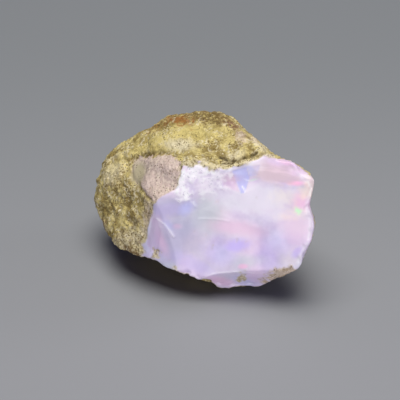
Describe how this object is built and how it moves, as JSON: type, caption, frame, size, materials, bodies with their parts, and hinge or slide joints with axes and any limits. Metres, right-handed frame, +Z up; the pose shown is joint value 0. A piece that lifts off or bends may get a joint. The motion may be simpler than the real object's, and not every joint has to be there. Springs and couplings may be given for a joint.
{
  "type": "rough opal specimen",
  "caption": "Rough opal nodule, broken open in front to show glossy milky opal, with a lumpy yellow-brown rind and a small flat face to rest on.",
  "frame": {"origin": "centre of the bottom of the bounding box, on the plane of the flat face that the stone rests on", "axes": "+X along the stone's length, from the rind end to the broken end; -Y towards the side with the big break; +Z up"},
  "size_m": [0.0276, 0.02, 0.0191],
  "materials": {
    "stone": "glossy milky opal with a faint play of colour where it is broken, dull granular yellow-brown rind elsewhere"
  },
  "bodies": {
    "root": {"rough_opal": "stone"}
  },
  "joints": []
}
